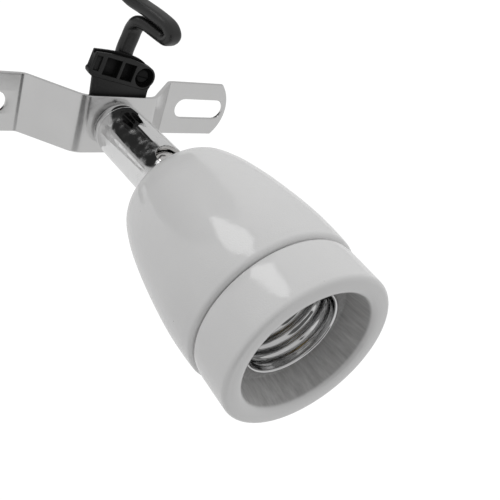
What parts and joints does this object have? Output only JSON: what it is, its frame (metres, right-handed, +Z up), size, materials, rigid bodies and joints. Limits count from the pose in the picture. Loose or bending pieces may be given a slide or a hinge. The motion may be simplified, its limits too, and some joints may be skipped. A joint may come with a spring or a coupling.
{
  "type": "heat lamp fixture",
  "caption": "Porcelain E27 heat lamp holder on a slotted chrome ball swivel, on a bent strip bracket with slotted tabs and a cord grip with a flat lead behind it.",
  "frame": {"origin": "on the wall plane, at the back of the left tab, in the middle of the land above its slot", "axes": "+Y into the wall, so the lamp points along -Y; +X along the strip; +Z up across the strip, towards the cord grip"},
  "size_m": [0.1076, 0.1287, 0.1018],
  "materials": {
    "brushed_strip": "stainless strip, faintly brushed along its length, polished enough to mirror the swivel",
    "chrome": "polished chrome plating",
    "nickel": "bright nickel plating, satin in the bore",
    "shell_metal": "rolled nickel-plated thread shell",
    "brass": "turned and stamped brass, lightly tarnished",
    "zinc_screws": "zinc-plated steel",
    "blackened_steel": "blackened steel",
    "spring_steel": "drawn spring wire",
    "glazed_porcelain": "off-white glaze with soft highlights, unglazed and ribbed inside the collar",
    "steatite": "unglazed steatite",
    "black_plastic": "moulded black polyamide, fine eggshell surface",
    "black_sheath": "black flexible sheath with a soft sheen",
    "brown_insulation": "brown core insulation",
    "blue_insulation": "blue core insulation",
    "copper_strands": "bare twisted copper",
    "fibre": "red vulcanised fibre"
  },
  "bodies": {
    "bracket": {"bracket_strip": "brushed_strip", "cord_grip_base": "black_plastic", "lead_sheath": "black_sheath", "lead_core_live": "brown_insulation", "lead_core_neutral": "blue_insulation", "lead_strands_live": "copper_strands", "lead_strands_neutral": "copper_strands", "entry_nipple": "brass", "lock_washer": "zinc_screws", "nipple_nut": "brass"},
    "grip_screw": {"cord_grip_screw": "blackened_steel"},
    "grip_clamp": {"cord_grip_clamp": "black_plastic"},
    "housing": {"housing_cap": "chrome", "swivel_housing": "chrome", "friction_washer": "fibre", "pressure_spring": "spring_steel", "pressure_cup": "nickel"},
    "ball": {"swivel_ball": "nickel", "threaded_neck": "nickel"},
    "lampholder": {"porcelain_body": "glazed_porcelain", "porcelain_collar": "glazed_porcelain", "thread_shell": "shell_metal", "contact_carrier": "steatite", "shell_strap": "brass", "terminal_live": "brass", "terminal_neutral": "brass", "terminal_screw_live": "zinc_screws", "terminal_screw_neutral": "zinc_screws", "neck_bridge": "zinc_screws", "neck_nut": "brass", "carrier_screw_upper": "zinc_screws", "carrier_screw_lower": "zinc_screws", "holder_core_live": "brown_insulation", "holder_core_neutral": "blue_insulation"},
    "contact_blade": {"centre_contact": "brass"}
  },
  "joints": [
    {"name": "housing_turn", "type": "hinge", "parent": "bracket", "child": "housing", "pos_m": [0.0419, -0.0163, -0.0068], "axis": [0, -1, 0], "range_deg": [-150, 150]},
    {"name": "ball_tilt", "type": "hinge", "parent": "housing", "child": "ball", "pos_m": [0.0419, -0.0495, -0.0068], "axis": [-1, 0, 0], "range_deg": [-6, 75]},
    {"name": "lamp_turn", "type": "hinge", "parent": "ball", "child": "lampholder", "pos_m": [0.0419, -0.0495, -0.0068], "axis": [0.014, -0.9961, -0.0871], "range_deg": [-90, 90]},
    {"name": "centre_contact_press", "type": "hinge", "parent": "lampholder", "child": "contact_blade", "pos_m": [0.05093, -0.09471, -0.01076], "axis": [0, 0.0872, -0.9962], "range_deg": [0, 8]},
    {"name": "grip_screw_back_out", "type": "slide", "parent": "bracket", "child": "grip_screw", "axis": [0, -1, 0], "range_m": [0, 0.0015]},
    {"name": "grip_clamp_lift", "type": "slide", "parent": "bracket", "child": "grip_clamp", "axis": [0, -1, 0], "range_m": [0, 0.0015]}
  ],
  "couplings": [
    {"joint": "grip_clamp_lift", "follows": "grip_screw_back_out", "ratio": 1}
  ]
}
